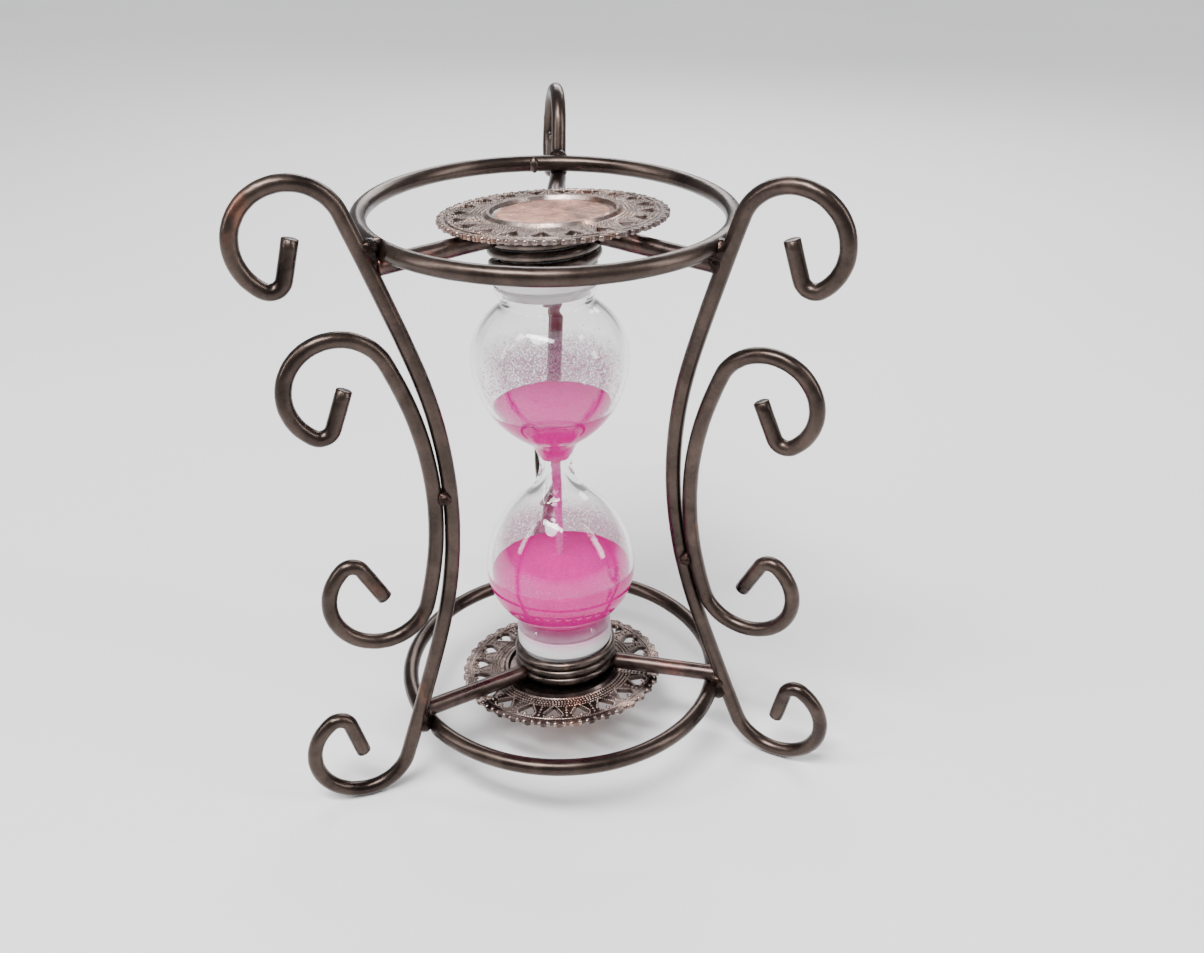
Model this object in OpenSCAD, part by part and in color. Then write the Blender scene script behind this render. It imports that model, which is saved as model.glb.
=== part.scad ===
// Small decorative hourglass in a welded stand of hand-bent round wire.
// Frame: z = 0 is the surface that the three foot curls stand on, and the z axis runs up the stand.
// +Z points up. The open front, between the left and right legs, faces -Y.

/* [Stand] */
// Height over the upper curls of the legs
stand_h = 124; // [123:0.5:126]
// Diameter of the leg and scroll wire
leg_wire_d = 3; // [2.9:0.05:3.1]
// Diameter of the two rings' wire
ring_wire_d = 3.3; // [3.2:0.05:3.4]
// Diameter of the six spokes
spoke_d = 3.4; // [3.2:0.1:3.5]
// Centreline radius of the top ring
top_ring_r = 33.9; // [33.8:0.05:34]
// Centreline radius of the bottom ring
bottom_ring_r = 32.3; // [32.2:0.05:32.4]
// Height of each ring's centreline from the middle of the stand
ring_z = 48.2; // [48:0.1:48.4]

/* [Legs] */
// Centreline radius of a leg at its waist
leg_waist_r = 23.3; // [23.1:0.1:23.4]
// Radius of the waist's long bend
waist_bend_r = 92; // [88:1:96]
// Distance of the end curls' centres from the stand's axis
curl_centre_r = 45.7; // [45.6:0.05:45.8]
// Radius of the end curls
curl_r = 9.35; // [9.3:0.05:9.4]
// Angle that an end curl turns through
curl_turn = 216; // [210:1:222]
// Radius of the tight bend into a curl's tail
tail_bend_r = 2.4; // [2.2:0.1:2.6]
// Length of the straight tail inside a curl
tail_l = 7; // [6:0.2:8]
// Angle between the tail and the vertical
tail_tilt = 15; // [10:1:20]

/* [Scrolls] */
// Radius of a scroll's long bend
scroll_bend_r = 66; // [64:1:68]
// Height of the scroll curls' centres from the scroll's middle
scroll_centre_z = 21; // [20.6:0.1:21.4]
// Radius of the scroll curls
scroll_r = 9.4; // [9.2:0.1:9.6]
// Angle that a scroll curl turns through
scroll_turn = 210; // [206:1:214]
// Length of the straight tail inside a scroll curl
scroll_tail_l = 7.4; // [6:0.2:8]
// Angle between a scroll's tail and the vertical
scroll_tail_tilt = 25; // [20:1:28]

/* [Vial] */
// Outer radius of each bulb
bulb_r = 15.2; // [15:0.1:15.4]
// Distance of the upper bulb's widest place from the neck
upper_bulb_z = 22; // [21.6:0.1:22.4]
// Distance of the lower bulb's widest place from the neck
lower_bulb_z = 23.2; // [22.8:0.1:23.6]
// Radius of the bulbs' curve towards the neck
shoulder_r = 19.5; // [19:0.1:20]
// Radius of the bulbs' curve towards the mouth
crown_r = 12.2; // [11.8:0.1:12.4]
// Outer radius of the neck
neck_r = 3.2; // [3:0.1:3.4]
// Radius of the sand passage through the neck
bore_r = 1.4; // [1.2:0.1:1.6]
// Thickness of the glass wall
glass_t = 0.9; // [0.8:0.05:1]
// Outer radius of the two open ends
mouth_r = 9.8; // [9.6:0.1:10]
// Distance of the open ends from the neck
mouth_z = 36.8; // [36.4:0.1:37]

/* [Sand] */
// Height of the upper sand's surface above the neck
upper_sand_z = 12.4; // [10:0.1:14]
// Distance of the lower sand's edge below the neck
lower_sand_z = 23; // [21:0.1:26]
// Rise of the lower sand's mound above its edge
mound_rise = 2.6; // [1:0.1:3]
// Radius of the falling stream
stream_r = 0.9; // [0.7:0.1:1]

/* [Sockets] */
// Diameter of the coil wire
coil_wire_d = 1.75; // [1.7:0.05:1.8]
// Turns in the top coil
top_coil_turns = 3.2; // [3:0.1:3.3]
// Turns in the bottom coil
bottom_coil_turns = 3.2; // [3:0.1:3.3]

/* [Filigree discs] */
// Outer radius of the discs
disc_r = 21.2; // [21:0.1:21.4]
// Thickness of the stamped sheet
disc_t = 0.8; // [0.7:0.1:0.9]
// Number of hearts round each disc
hearts = 20; // [18:1:20]

/* [Hidden] */

mid_z = stand_h / 2;
wire_facets = 24;
wire_sides = 12;
waist_steps = 3;
curl_steps = 24;
bend_steps = 8;

// The rings sit a little off the axis, because the legs were bent and welded by hand
top_ring_at = [-1.75, 5.1, mid_z + ring_z];
bottom_ring_at = [0.9, -2.45, mid_z - ring_z];

// How each leg stands: azimuth, sideways shift, sideways lean, inward tip of its top, outward shift
rear_pose = [101.6, -1.9, 3.8, -5.7, 2.8];
left_pose = [203.1, 8.85, 4.55, -0.7, -0.2];
right_pose = [337.5, 3.5, 3.1, 2.1, 0];

// How each scroll lies on its leg: outward roll of its top, height of the contact above the middle
rear_lay = [3, 1];
left_lay = [3.3, 1];
right_lay = [4.3, -16.6];

// A leg's outline: waist bend, straight, end curl, tight bend, tail
tip_pivot_r = 22;
curl_z = mid_z - leg_wire_d / 2 - curl_r;
waist_centre_r = leg_waist_r + waist_bend_r;
curl_offset = curl_centre_r - waist_centre_r;
leg_straight = sqrt(pow(curl_offset, 2) + pow(curl_z, 2) - pow(waist_bend_r - curl_r, 2));
waist_turn = 90 + atan2(waist_bend_r - curl_r, leg_straight) - atan2(curl_z, curl_offset);
straight_from = [waist_centre_r - waist_bend_r * cos(waist_turn), waist_bend_r * sin(waist_turn)];

// A scroll's outline, measured from the centre of its long bend
scroll_inset = sqrt(pow(scroll_bend_r - scroll_r, 2) - pow(scroll_centre_z, 2));
scroll_half_turn = atan2(scroll_centre_z, scroll_inset);
scroll_step = waist_bend_r - scroll_bend_r - leg_wire_d;

// The vial stands between the rings' centres, so it leans a little back and to the left
neck_at = [-0.4, 1.2, mid_z - 1];
vial_lean = [-4.4, -2.6, 0];

// Stopper, socket and disc heights, measured from the neck along each half
plug_l = 3;
plug_gap = 0.05;
flange_t = 3.6;
spigot_r = mouth_r - glass_t - 0.1;
spigot_z = mouth_z + flange_t + 5;
flange_z = mouth_z + flange_t;
coil_clear = 0.1;
coil_r = spigot_r + coil_clear + coil_wire_d / 2;
coil_low_z = flange_z + coil_wire_d / 2;
coil_sides = 10;
coil_step = 12;
top_disc_z = 48.6;
bottom_disc_z = 48.0;
top_disc_shift = 2;
bottom_disc_shift = -1;

// Disc ornament
disc_seat_r = coil_r + coil_wire_d / 2;
ridge_w = 1.9;
ridge_rise = 0.7;
heart_at = disc_r - 4.3;
heart_lobe_r = 0.95;
scallops = 2 * hearts;
scallop_r = 0.95;

// Spokes lie against the inner faces of the rings
spoke_z = ring_z - ring_wire_d / 2 - spoke_d / 2 + 0.1;
top_spoke_in_z = [43.5, 45.6, 46.2];
bottom_spoke_in_z = [46.2, 46.2, 45.6];
weld_r = 2.1;
tack_r = 1.5;

bronze = "#5b4a40";
copper = "#8a5a45";
silver = "#b9b5ae";
white = "#f2efe9";
pink = "#dc4aa8";
clear_glass = [0.85, 0.9, 0.92, 0.35];

// A point of a leg's outline plane, [outward, up], placed in the stand
function leg_rise(pose) =
    curl_z * cos(pose[3]) - (curl_centre_r - tip_pivot_r) * sin(pose[3]) + curl_r
    + (leg_wire_d / 2 - mid_z) / cos(pose[2]);
function tipped(pose, p) = [
    (p[0] - tip_pivot_r) * cos(pose[3]) - p[1] * sin(pose[3]) + tip_pivot_r + pose[4],
    (p[0] - tip_pivot_r) * sin(pose[3]) + p[1] * cos(pose[3]) + leg_rise(pose)
];
function leaned(pose, q) = [q[0], pose[1] - q[1] * sin(pose[2]), mid_z + q[1] * cos(pose[2])];
function turned(pose, v) = [
    v[0] * cos(pose[0]) - v[1] * sin(pose[0]),
    v[0] * sin(pose[0]) + v[1] * cos(pose[0]),
    v[2]
];
function in_stand(pose, p) = turned(pose, leaned(pose, tipped(pose, p)));

// A leg's outline point at a height on its straight stretch, up or down
function leg_at(z) = [straight_from[0] + (abs(z) - straight_from[1]) * tan(waist_turn), z];

// A point on the vial's centreline, by its distance above the neck
vial_axis = [
    sin(vial_lean[1]) * cos(vial_lean[0]),
    -sin(vial_lean[0]),
    cos(vial_lean[1]) * cos(vial_lean[0])
];
function vial_point(d) = neck_at + d * vial_axis;

// Solid through a list of rings of points, each with the same number of corners
module sweep(rings) {
    corners = len(rings[0]);
    last = len(rings) - 1;
    points = [for (ring = rings) for (p = ring) p];
    walls = [
        for (i = [0 : last - 1])
            for (k = [0 : corners - 1])
                let (next = (k + 1) % corners)
                    [
                        i * corners + k, (i + 1) * corners + k,
                        (i + 1) * corners + next, i * corners + next
                    ]
    ];
    near_end = [for (k = [0 : corners - 1]) k];
    far_end = [for (k = [corners - 1 : -1 : 0]) last * corners + k];
    polyhedron(points = points, faces = concat(walls, [near_end, far_end]), convexity = 6);
}

function arc_points(centre, radius, from, to, steps) = [
    for (i = [0 : steps])
        let (angle = from + (to - from) * i / steps)
            centre + radius * [cos(angle), sin(angle)]
];

// Curl that a wire arriving from below ends in, with its tight bend and straight tail
function end_curl(centre, radius, arrive, turn, tail, tilt) =
    let (
        handover = 180 - arrive - turn,
        bend_at = centre + (radius - tail_bend_r) * [cos(handover), sin(handover)],
        bend = arc_points(bend_at, tail_bend_r, handover, tilt - 180, bend_steps)
    )
    concat(
        arc_points(centre, radius, 180 - arrive, handover, curl_steps),
        [for (i = [1 : bend_steps]) bend[i]],
        [bend[bend_steps] + tail * [-sin(tilt), cos(tilt)]]
    );

// The upper half of a wire's path, and the same half mirrored below it
function whole_path(half) = concat(
    [for (i = [len(half) - 1 : -1 : 1]) [half[i][0], -half[i][1]]],
    half
);

function leg_half() = concat(
    arc_points([waist_centre_r, 0], waist_bend_r, 180, 180 - waist_turn, waist_steps),
    end_curl([curl_centre_r, curl_z], curl_r, waist_turn, curl_turn, tail_l, tail_tilt)
);

function scroll_half() =
    let (
        bend = arc_points([0, 0], scroll_bend_r, 180, 180 - scroll_half_turn, waist_steps),
        curl_at = [-scroll_inset, scroll_centre_z]
    )
    concat(
        [for (i = [0 : waist_steps - 1]) bend[i]],
        end_curl(curl_at, scroll_r, scroll_half_turn, scroll_turn, scroll_tail_l, scroll_tail_tilt)
    );

function unit(v) = v / norm(v);

// Direction of a path at one of its points
function heading(path, i) =
    let (
        before = i > 0 ? unit(path[i] - path[i - 1]) : [0, 0],
        after = i < len(path) - 1 ? unit(path[i + 1] - path[i]) : [0, 0]
    )
    unit(before + after);

// Round wire along a flat path of [outward, up] points in the XZ plane
module flat_wire(path, wire_d) {
    sweep([
        for (i = [0 : len(path) - 1])
            let (along = heading(path, i), across = [along[1], -along[0]])
                [
                    for (k = [0 : wire_sides - 1])
                        let (
                            turn = k * 360 / wire_sides,
                            in_plane = path[i] + wire_d / 2 * cos(turn) * across
                        )
                            [in_plane[0], wire_d / 2 * sin(turn), in_plane[1]]
                ]
    ]);
}

// Stands the outline plane of a leg in its place
module stand_leg(pose) {
    translate([0, 0, mid_z])
        rotate([0, 0, pose[0]])
            translate([0, pose[1], 0])
                rotate([pose[2], 0, 0])
                    translate([pose[4] + tip_pivot_r, 0, leg_rise(pose)])
                        rotate([0, -pose[3], 0])
                            translate([-tip_pivot_r, 0, 0])
                                children();
}

module leg(pose) {
    color(bronze)
        stand_leg(pose)
            flat_wire(whole_path(leg_half()), leg_wire_d);
}

// A scroll touches the outside of its leg at the contact height, whatever its roll
module scroll(pose, lay) {
    contact = asin(lay[1] / waist_bend_r);
    color(bronze)
        stand_leg(pose)
            translate([waist_centre_r - scroll_step * cos(contact), 0, scroll_step * sin(contact)])
                rotate([0, lay[0], 0])
                    flat_wire(whole_path(scroll_half()), leg_wire_d);
}

module ring(at, radius) {
    color(bronze)
        translate(at)
            rotate_extrude($fn = 128)
                translate([radius, 0])
                    circle(d = ring_wire_d, $fn = wire_facets);
}

// Straight rod between two points
module rod_between(from, to, d) {
    along = to - from;
    length = norm(along);
    translate(from)
        rotate([0, acos(along[2] / length), atan2(along[1], along[0])])
            cylinder(h = length, d = d, $fn = wire_facets);
}

// Spoke from the socket coil out to a leg's inner side; up is 1 at the top ring and -1 at the bottom
module spoke(pose, up, inner_d) {
    socket = vial_point(up * inner_d);
    at_leg = in_stand(pose, leg_at(up * spoke_z));
    out = [at_leg[0] - socket[0], at_leg[1] - socket[1], 0];
    out_unit = unit(out);
    from = [socket[0], socket[1], mid_z + up * inner_d] + out_unit * (disc_seat_r + 0.05);
    to = [at_leg[0], at_leg[1], mid_z + up * spoke_z] - out_unit * (leg_wire_d / 2 - 0.2);
    color(bronze)
        rod_between(from, to, spoke_d);
}

module in_upper_half() {
    translate(neck_at)
        rotate(vial_lean)
            children();
}

module in_lower_half() {
    in_upper_half()
        mirror([0, 0, 1])
            children();
}

// Round wire wound upwards
module coil(turns, rise_per_turn) {
    rings = ceil(turns * 360 / coil_step);
    sweep([
        for (i = [0 : rings])
            let (angle = i * turns * 360 / rings)
                [
                    for (k = [0 : coil_sides - 1])
                        let (
                            turn = k * 360 / coil_sides,
                            radius = coil_r + coil_wire_d / 2 * cos(turn)
                        )
                            [
                                radius * cos(angle),
                                radius * sin(angle),
                                rise_per_turn * angle / 360 - coil_wire_d / 2 * sin(turn)
                            ]
                ]
    ]);
}

module socket_coil(turns, seat_z, start) {
    rise = seat_z - coil_wire_d / 2 - coil_low_z;
    color(bronze)
        translate([0, 0, coil_low_z])
            rotate([0, 0, start])
                coil(turns, rise / turns);
}

// Outline of a bulb from its neck to its mouth, as [radius, distance]; inset 0 is the outside
function bulb_outline(waist_r, widest_z, inset, end_z) =
    let (
        bulge = shoulder_r - bulb_r,
        shoulder = shoulder_r - inset,
        crown = crown_r - inset,
        widest = bulb_r - inset,
        end_r = mouth_r - inset,
        lead = (pow(waist_r + bulge, 2) + pow(widest_z, 2) - pow(shoulder, 2)) / (2 * (widest - waist_r)),
        sweep = atan2(widest_z, waist_r + lead + bulge),
        crown_turn = acos((end_r - widest + crown) / crown),
        neck_arc = arc_points([waist_r + lead, 0], lead, 180, 180 - sweep, 5),
        shoulder_arc = arc_points([-bulge, widest_z], shoulder, -sweep, 0, 9),
        crown_arc = arc_points([widest - crown, widest_z], crown, 0, crown_turn, 6)
    )
    concat(
        neck_arc,
        [for (i = [1 : 9]) shoulder_arc[i]],
        [for (i = [1 : 6]) crown_arc[i]],
        [[end_r, end_z]]
    );

// The same outline from the lower mouth, through the neck, to the upper mouth
function vial_outline(waist_r, inset) =
    let (
        lower = bulb_outline(waist_r, lower_bulb_z, inset, mouth_z),
        upper = bulb_outline(waist_r, upper_bulb_z, inset, mouth_z)
    )
    concat(
        [for (i = [len(lower) - 1 : -1 : 1]) [lower[i][0], -lower[i][1]]],
        upper
    );

module glass_vial() {
    outside = vial_outline(neck_r, 0);
    inside = vial_outline(bore_r, glass_t);
    color(clear_glass)
        in_upper_half()
            rotate_extrude($fn = 96)
                polygon(concat(outside, [for (i = [len(inside) - 1 : -1 : 0]) inside[i]]));
}

// The space inside one bulb, a hair smaller than the glass
module bulb_space(widest_z) {
    sand_clear = 0.01;
    rotate_extrude($fn = 96)
        polygon(concat(
            [[0, mouth_z], [0, 0]],
            bulb_outline(bore_r - sand_clear, widest_z, glass_t + sand_clear, mouth_z)
        ));
}

// Plug inside the mouth, flange against the glass, spigot inside the coil
module stopper() {
    edge = 0.5;
    plug_r = mouth_r - glass_t - plug_gap;
    color(white)
        rotate_extrude($fn = 96)
            polygon([
                [0, mouth_z - plug_l],
                [plug_r - edge, mouth_z - plug_l],
                [plug_r, mouth_z - plug_l + edge],
                [plug_r, mouth_z],
                [mouth_r - edge / 2, mouth_z],
                [mouth_r, mouth_z + edge / 2],
                [mouth_r, flange_z - edge],
                [mouth_r - edge, flange_z],
                [spigot_r, flange_z],
                [spigot_r, spigot_z - edge],
                [spigot_r - edge, spigot_z],
                [0, spigot_z]
            ]);
}

module sand_upper() {
    dish = 0.7;
    color(pink)
        in_upper_half()
            intersection() {
                bulb_space(upper_bulb_z);
                rotate_extrude($fn = 96)
                    polygon([
                        [0, 0.6], [bulb_r, 0.6], [bulb_r, upper_sand_z + dish / 2],
                        [bulb_r * 0.6, upper_sand_z], [0, upper_sand_z - dish]
                    ]);
            }
}

// The stream runs along the axis from the neck to the mound
module sand_stream() {
    fall = lower_sand_z - mound_rise - 0.4;
    color(pink)
        in_lower_half()
            translate([0, 0, -0.4])
                cylinder(h = fall + 0.8, r = stream_r, $fn = wire_facets);
}

module sand_lower() {
    floor_z = mouth_z - plug_l - plug_gap;
    color(pink)
        in_lower_half()
            intersection() {
                bulb_space(lower_bulb_z);
                rotate_extrude($fn = 96)
                    polygon([
                        [0, floor_z], [bulb_r, floor_z], [bulb_r, lower_sand_z],
                        [bulb_r * 0.7, lower_sand_z - mound_rise * 0.25],
                        [bulb_r * 0.4, lower_sand_z - mound_rise * 0.7],
                        [0, lower_sand_z - mound_rise]
                    ]);
            }
}

// Heart with its lobes outward and its tip towards the disc's centre
module heart_outline() {
    lobe_gap = 0.75 * heart_lobe_r;
    for (side = [-1, 1]) {
        translate([heart_lobe_r, side * lobe_gap])
            circle(heart_lobe_r, $fn = 24);
    }
    polygon([
        [heart_lobe_r * 1.5, 0],
        [heart_lobe_r * 0.55, -lobe_gap - heart_lobe_r * 0.88],
        [-heart_lobe_r * 1.9, 0],
        [heart_lobe_r * 0.55, lobe_gap + heart_lobe_r * 0.88]
    ]);
}

// Pierced and scalloped sheet with a raised ridge round its flat seat
module filigree_disc() {
    difference() {
        union() {
            cylinder(h = disc_t, r = disc_r - scallop_r * 0.6, $fn = 128);
            for (i = [0 : scallops - 1]) {
                rotate([0, 0, (i + 0.5) * 360 / scallops])
                    translate([disc_r - scallop_r, 0, 0])
                        cylinder(h = disc_t, r = scallop_r, $fn = 24);
            }
            translate([0, 0, disc_t])
                rotate_extrude($fn = 128)
                    polygon([
                        [disc_seat_r + 0.4, -0.1], [disc_seat_r + 0.9, ridge_rise],
                        [disc_seat_r + ridge_w - 0.5, ridge_rise], [disc_seat_r + ridge_w, -0.1]
                    ]);
        }
        for (i = [0 : hearts - 1]) {
            rotate([0, 0, i * 360 / hearts])
                translate([heart_at, 0, -1])
                    linear_extrude(disc_t + 2)
                        heart_outline();
        }
    }
}

module top_filigree() {
    color(silver)
        in_upper_half()
            translate([top_disc_shift, 0, top_disc_z])
                filigree_disc();
}

module bottom_filigree() {
    color(silver)
        in_lower_half()
            translate([bottom_disc_shift, 0, bottom_disc_z + disc_t])
                mirror([0, 0, 1])
                    filigree_disc();
}

// Bead between a leg and a ring, with a smaller one where the spoke meets them
module joint_bead(pose, up, ring_at) {
    at_leg = in_stand(pose, leg_at(up * ring_z));
    inward = [ring_at[0] - at_leg[0], ring_at[1] - at_leg[1], 0];
    step = unit(inward);
    translate(at_leg + step * leg_wire_d * 0.55)
        sphere(weld_r, $fn = 24);
    translate(at_leg + step * leg_wire_d * 0.7 - [0, 0, up * ring_wire_d * 0.75])
        sphere(weld_r * 0.9, $fn = 24);
}

module joint_welds() {
    color(copper) {
        for (pose = [rear_pose, left_pose, right_pose]) {
            joint_bead(pose, 1, top_ring_at);
            joint_bead(pose, -1, bottom_ring_at);
        }
    }
}

// Two beads, one each side of the line where a scroll touches its leg
module scroll_tack(pose, lay) {
    contact = asin(lay[1] / waist_bend_r);
    seam = waist_bend_r - leg_wire_d / 2;
    stand_leg(pose)
        for (side = [-1, 1]) {
            translate([waist_centre_r - seam * cos(contact), side * tack_r * 0.6, seam * sin(contact)])
                sphere(tack_r, $fn = 24);
        }
}

module scroll_tacks() {
    color(copper) {
        scroll_tack(rear_pose, rear_lay);
        scroll_tack(left_pose, left_lay);
        scroll_tack(right_pose, right_lay);
    }
}

ring(top_ring_at, top_ring_r);  // top_ring
ring(bottom_ring_at, bottom_ring_r);  // bottom_ring
leg(rear_pose);  // leg_rear
leg(left_pose);  // leg_left
leg(right_pose);  // leg_right
scroll(rear_pose, rear_lay);  // scroll_rear
scroll(left_pose, left_lay);  // scroll_left
scroll(right_pose, right_lay);  // scroll_right
spoke(rear_pose, 1, top_spoke_in_z[0]);  // top_spoke_rear
spoke(left_pose, 1, top_spoke_in_z[1]);  // top_spoke_left
spoke(right_pose, 1, top_spoke_in_z[2]);  // top_spoke_right
spoke(rear_pose, -1, bottom_spoke_in_z[0]);  // bottom_spoke_rear
spoke(left_pose, -1, bottom_spoke_in_z[1]);  // bottom_spoke_left
spoke(right_pose, -1, bottom_spoke_in_z[2]);  // bottom_spoke_right
in_upper_half() socket_coil(top_coil_turns, top_disc_z, 200);  // top_coil
in_lower_half() socket_coil(bottom_coil_turns, bottom_disc_z, 60);  // bottom_coil
top_filigree();
bottom_filigree();
glass_vial();
in_upper_half() stopper();  // top_stopper
in_lower_half() stopper();  // bottom_stopper
sand_upper();
sand_stream();
sand_lower();
joint_welds();
scroll_tacks();
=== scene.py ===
import math
import random

import bmesh
import bpy
from mathutils import Matrix, Vector, noise


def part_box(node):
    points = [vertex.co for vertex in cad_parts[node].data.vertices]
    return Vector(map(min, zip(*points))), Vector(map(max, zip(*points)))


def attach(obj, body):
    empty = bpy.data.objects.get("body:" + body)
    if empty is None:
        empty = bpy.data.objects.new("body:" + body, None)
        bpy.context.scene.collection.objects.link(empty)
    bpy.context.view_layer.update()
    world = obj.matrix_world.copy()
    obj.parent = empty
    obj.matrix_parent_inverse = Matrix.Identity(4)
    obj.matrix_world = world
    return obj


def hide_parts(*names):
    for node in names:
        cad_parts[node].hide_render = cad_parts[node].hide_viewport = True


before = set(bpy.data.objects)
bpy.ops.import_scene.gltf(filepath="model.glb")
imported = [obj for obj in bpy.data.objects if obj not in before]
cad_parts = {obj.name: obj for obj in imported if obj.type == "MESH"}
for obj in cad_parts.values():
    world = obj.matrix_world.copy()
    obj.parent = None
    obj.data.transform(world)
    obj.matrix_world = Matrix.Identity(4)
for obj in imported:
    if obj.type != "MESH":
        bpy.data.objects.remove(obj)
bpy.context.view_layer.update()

MM = 0.001
TAU = 2 * math.pi
RNG = random.Random(7)
# Blender seeds its vector noise from the clock unless it is given a seed
noise.seed_set(7)

# Sizes of the vial, its stoppers, sockets and discs, in millimetres along the vial's own axis
BULB_R = 15.2
UPPER_BULB_Z = 22.0
LOWER_BULB_Z = 23.2
SHOULDER_R = 19.5
CROWN_R = 12.2
NECK_R = 3.2
BORE_R = 1.4
GLASS_T = 0.9
MOUTH_R = 9.8
THROAT_R = 9.0
MOUTH_Z = 36.8
PLUG_Z = 33.8
FLANGE_Z = 40.4
SPIGOT_R = 8.8
SPIGOT_Z = 45.4
UPPER_SAND_Z = 12.4
LOWER_SAND_Z = 23.0
COIL_WIRE_R = 0.875
COIL_R = 9.775
TOP_COIL_TURNS = 3.2
BOTTOM_COIL_TURNS = 3.2
TOP_DISC_Z = 48.6
BOTTOM_DISC_Z = 48.0
DISC_T = 0.8
HEARTS = 20
HEART_AT = 16.9
HEART_LOBE_R = 0.95
HEART_LOBE_GAP = 0.7125
HEART_TIP = 1.8
PAD_R = 10.5
LEG_WIRE_R = 1.5
SCARF_LENGTH = 5.5 * MM
WIRE_CORNERS = 28
TOP_RING_CUT_DEG = 229
BOTTOM_RING_CUT_DEG = 229.5
WELD_VOXEL = 0.22
# Sand and plugs press into the inner wall this far, so no film of air shows behind the glass
SAND_CONTACT = 0.15


# ---------------------------------------------------------------- places taken from the CAD parts

def middle(node):
    low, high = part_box(node)
    return (low + high) / 2


def vial_matrix():
    """The vial's own frame: origin at the neck, Z along its axis, in metres."""
    top, bottom = middle("top_stopper"), middle("bottom_stopper")
    axis = (top - bottom).normalized()
    turn = Vector((0, 0, 1)).rotation_difference(axis).to_matrix().to_4x4()
    return Matrix.Translation((top + bottom) / 2) @ turn


VIAL = vial_matrix()


# ---------------------------------------------------------------- mesh helpers

def piece(name, verts, faces, material, node=None, smooth=True):
    """A mesh piece from points in metres, riding on the stand and standing for a CAD node."""
    mesh = bpy.data.meshes.new(name)
    mesh.from_pydata([tuple(v) for v in verts], [], faces)
    bm = bmesh.new()
    bm.from_mesh(mesh)
    bmesh.ops.recalc_face_normals(bm, faces=bm.faces)
    bm.to_mesh(mesh)
    bm.free()
    return dress(name, mesh, material, node, smooth)


def dress(name, mesh, material, node=None, smooth=True):
    """Puts a mesh in the scene, riding on the stand, with its material, and hides the CAD node it stands for.
    """
    for polygon in mesh.polygons:
        polygon.use_smooth = smooth
    mesh.materials.clear()
    mesh.materials.append(material)
    obj = bpy.data.objects.new(name, mesh)
    bpy.context.scene.collection.objects.link(obj)
    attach(obj, "root")
    if node:
        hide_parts(node)
    return obj


def add_modifier(obj, kind, **settings):
    modifier = obj.modifiers.new(kind.lower(), kind)
    for key, value in settings.items():
        setattr(modifier, key, value)
    return modifier


def sweep(rings, closed=False):
    """Verts and faces of a skin through rings of points, its ends capped unless it is closed."""
    count, corners = len(rings), len(rings[0])
    verts = [p for ring in rings for p in ring]
    faces = []
    for i in range(count if closed else count - 1):
        a, b = i * corners, (i + 1) % count * corners
        for k in range(corners):
            n = (k + 1) % corners
            faces.append((a + k, b + k, b + n, a + n))
    if not closed:
        faces.append(tuple(range(corners)))
        faces.append(tuple((count - 1) * corners + k for k in reversed(range(corners))))
    return verts, faces


def lathe(profile, place, steps=160, loop=False):
    """Verts and faces of a turned solid; profile is [(radius, height)] in millimetres."""
    verts, faces = [], []
    rows = []
    for radius, height in profile:
        if radius < 1e-6:
            rows.append([len(verts)] * steps)
            verts.append(place @ Vector((0, 0, height * MM)))
            continue
        rows.append(list(range(len(verts), len(verts) + steps)))
        for k in range(steps):
            angle = TAU * k / steps
            x, y = radius * MM * math.cos(angle), radius * MM * math.sin(angle)
            verts.append(place @ Vector((x, y, height * MM)))
    pairs = list(zip(rows, rows[1:] + rows[:1])) if loop else list(zip(rows, rows[1:]))
    for low, high in pairs:
        for k in range(steps):
            n = (k + 1) % steps
            corners = []
            for v in (low[k], low[n], high[n], high[k]):
                if v not in corners:
                    corners.append(v)
            if len(corners) > 2:
                faces.append(corners)
    return verts, faces


def ball(level):
    """Verts and faces of a unit ball."""
    bm = bmesh.new()
    bmesh.ops.create_icosphere(bm, subdivisions=level, radius=1)
    verts = [v.co.copy() for v in bm.verts]
    faces = [tuple(v.index for v in face.verts) for face in bm.faces]
    bm.free()
    return verts, faces


def copies(template, places):
    """Verts and faces of one copy of the template for every place."""
    verts, faces = [], []
    for place in places:
        offset = len(verts)
        verts += [place @ v for v in template[0]]
        faces += [tuple(v + offset for v in face) for face in template[1]]
    return verts, faces


def spot(x, y, z, size):
    """A place for a copy: a point in millimetres and its size along each axis, or one size."""
    sizes = size if isinstance(size, tuple) else (size, size, size)
    return Matrix.Translation(Vector((x, y, z)) * MM) @ Matrix.Diagonal((*(v * MM for v in sizes), 1))


def arc(centre, radius, start, end, steps):
    """Points of an arc in (radius, height), angles in degrees."""
    points = []
    for i in range(steps + 1):
        angle = math.radians(start + (end - start) * i / steps)
        points.append((centre[0] + radius * math.cos(angle), centre[1] + radius * math.sin(angle)))
    return points


def rough(verts, amount, scale, seed):
    """Moves points along a smooth random field; amount and scale in millimetres."""
    moved = []
    shift = Vector((seed * 13.1, seed * 7.7, seed * 3.3))
    for v in verts:
        field = noise.noise_vector(v / (scale * MM) + shift)
        moved.append(v + field * amount * MM)
    return moved


# ---------------------------------------------------------------- materials

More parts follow.
